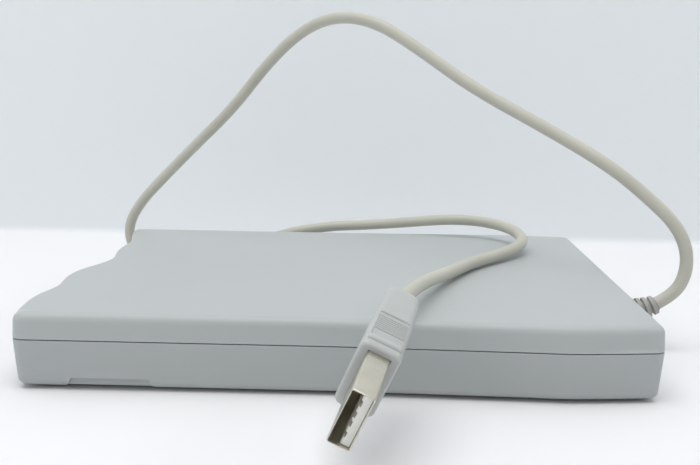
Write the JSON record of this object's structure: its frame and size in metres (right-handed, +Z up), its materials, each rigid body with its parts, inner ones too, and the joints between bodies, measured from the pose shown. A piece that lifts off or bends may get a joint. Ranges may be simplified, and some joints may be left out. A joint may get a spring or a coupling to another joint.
{
  "type": "floppy disk drive",
  "caption": "Slim external floppy disk drive: two-part case with a wavy slot end, complete spring-loaded drive mechanism, captive cord in a moulded relief and a flat plug.",
  "frame": {"origin": "centre of the case's plan at the plane of the four feet", "axes": "+X along the long side to the end the cord leaves, -X to the wavy end with the disk slot, +Z up out of the top cover"},
  "size_m": [0.1635, 0.1627, 0.0856],
  "materials": {
    "case_plastic": "satin",
    "base_plastic": "satin",
    "bezel_plastic": "matte",
    "button_plastic": "satin",
    "door_plastic": "matte",
    "lamp_plastic": "clear",
    "foot_rubber": "matte",
    "zinc_steel": "zinc plated",
    "spring_steel": "bright",
    "ground_steel": "polished",
    "screw_steel": "black oxide",
    "motor_board": "solder mask",
    "circuit_board": "solder mask",
    "chip_plastic": "matte",
    "connector_plastic": "matte",
    "copper_wire": "enamelled",
    "core_iron": "laminated",
    "magnet_ferrite": "matte",
    "bronze": "sintered",
    "hub_plastic": "satin",
    "carriage_plastic": "matte",
    "head_ceramic": "ground",
    "motor_can": "plated",
    "flex_film": "satin",
    "relief_plastic": "matte",
    "cord_jacket": "satin",
    "plug_plastic": "satin",
    "plug_nickel": "nickel",
    "insulator_plastic": "matte",
    "gold_contact": "gold flashed"
  },
  "bodies": {
    "case": {"bottom_cover": "base_plastic", "top_cover": "case_plastic", "rubber_feet": "foot_rubber", "case_screws": "screw_steel", "front_bezel": "bezel_plastic", "activity_lamp": "lamp_plastic", "door_wire": "spring_steel", "chassis_plate": "zinc_steel", "drive_top_plate": "zinc_steel", "motor_board": "motor_board", "bearing_sleeve": "bronze", "stator_core": "core_iron", "stator_coils": "copper_wire", "guide_rod": "ground_steel", "rod_clips": "carriage_plastic", "screw_bearing": "connector_plastic", "stepper_motor": "motor_can", "stepper_strap": "zinc_steel", "track_sensor": "chip_plastic", "lever_post": "ground_steel", "switch_bodies": "chip_plastic", "main_board": "circuit_board", "board_chips": "chip_plastic", "board_standoffs": "zinc_steel", "board_screws": "zinc_steel", "interface_board": "circuit_board", "interface_chips": "chip_plastic", "cord_socket": "connector_plastic", "flat_cable": "flex_film", "cable_headers": "connector_plastic", "drive_screws": "zinc_steel", "slider_springs": "spring_steel", "door_spring": "spring_steel", "strain_relief": "relief_plastic", "inner_lead": "cord_jacket", "cord": "cord_jacket", "plug_shell": "plug_nickel", "plug_insulator": "insulator_plastic", "plug_contacts": "gold_contact", "plug_overmold": "plug_plastic"},
    "slider": {"slider_plate": "zinc_steel", "eject_button": "button_plastic"},
    "holder": {"disk_holder": "zinc_steel"},
    "door": {"dust_door": "door_plastic"},
    "lever": {"shutter_lever": "zinc_steel"},
    "rotor": {"spindle_rotor": "zinc_steel", "rotor_magnet": "magnet_ferrite", "hub_table": "hub_plastic", "spindle_shaft": "ground_steel", "drive_pin": "ground_steel"},
    "carriage": {"head_carriage": "carriage_plastic", "lower_head": "head_ceramic", "carriage_needle": "ground_steel", "arm_pin": "ground_steel"},
    "arm": {"head_arm": "spring_steel", "upper_head": "head_ceramic"},
    "screw": {"lead_screw": "ground_steel"},
    "protect_switch": {"protect_plunger": "connector_plastic"},
    "density_switch": {"density_plunger": "connector_plastic"},
    "disk_switch": {"disk_plunger": "connector_plastic"}
  },
  "joints": [
    {"name": "eject_slide", "type": "slide", "parent": "case", "child": "slider", "axis": [-1, 0, 0], "range_m": [0, 0.0055]},
    {"name": "holder_lift", "type": "slide", "parent": "case", "child": "holder", "axis": [0, 0, -1], "range_m": [0, 0.0023]},
    {"name": "door_hinge", "type": "hinge", "parent": "case", "child": "door", "pos_m": [-0.0603, 0, 0.01445], "axis": [0, -1, 0], "range_deg": [0, 90], "stiffness_Nm_per_rad": 0.0002, "springref_deg": -11.46},
    {"name": "lever_pivot", "type": "hinge", "parent": "case", "child": "lever", "pos_m": [0.054, -0.042, 0.0146], "axis": [0, 0, -1], "range_deg": [0, 28], "stiffness_Nm_per_rad": 0.002, "springref_deg": -5.73},
    {"name": "spindle_spin", "type": "hinge", "parent": "case", "child": "rotor", "pos_m": [-0.0115, 0, 0.006], "axis": [0, 0, 1], "continuous": true},
    {"name": "carriage_slide", "type": "slide", "parent": "case", "child": "carriage", "axis": [-1, 0, 0], "range_m": [0, 0.01481]},
    {"name": "arm_hinge", "type": "hinge", "parent": "carriage", "child": "arm", "pos_m": [0.0525, 0, 0.0106], "axis": [0, -1, 0], "range_deg": [0, 9.6]},
    {"name": "screw_spin", "type": "hinge", "parent": "case", "child": "screw", "pos_m": [0.034, -0.012, 0.0057], "axis": [-1, 0, 0], "range_deg": [0, 1424]},
    {"name": "protect_press", "type": "slide", "parent": "case", "child": "protect_switch", "axis": [0, 0, -1], "range_m": [0, 0.0012], "stiffness_N_per_m": 30, "springref_m": -0.0005},
    {"name": "density_press", "type": "slide", "parent": "case", "child": "density_switch", "axis": [0, 0, -1], "range_m": [0, 0.0012], "stiffness_N_per_m": 30, "springref_m": -0.0005},
    {"name": "disk_press", "type": "slide", "parent": "case", "child": "disk_switch", "axis": [0, 0, -1], "range_m": [0, 0.0012], "stiffness_N_per_m": 30, "springref_m": -0.0005}
  ],
  "couplings": [
    {"joint": "holder_lift", "follows": "eject_slide", "ratio": 0.418},
    {"joint": "arm_hinge", "follows": "eject_slide", "rad_per_m": 30.46},
    {"joint": "screw_spin", "follows": "carriage_slide", "rad_per_m": 1675.5}
  ]
}
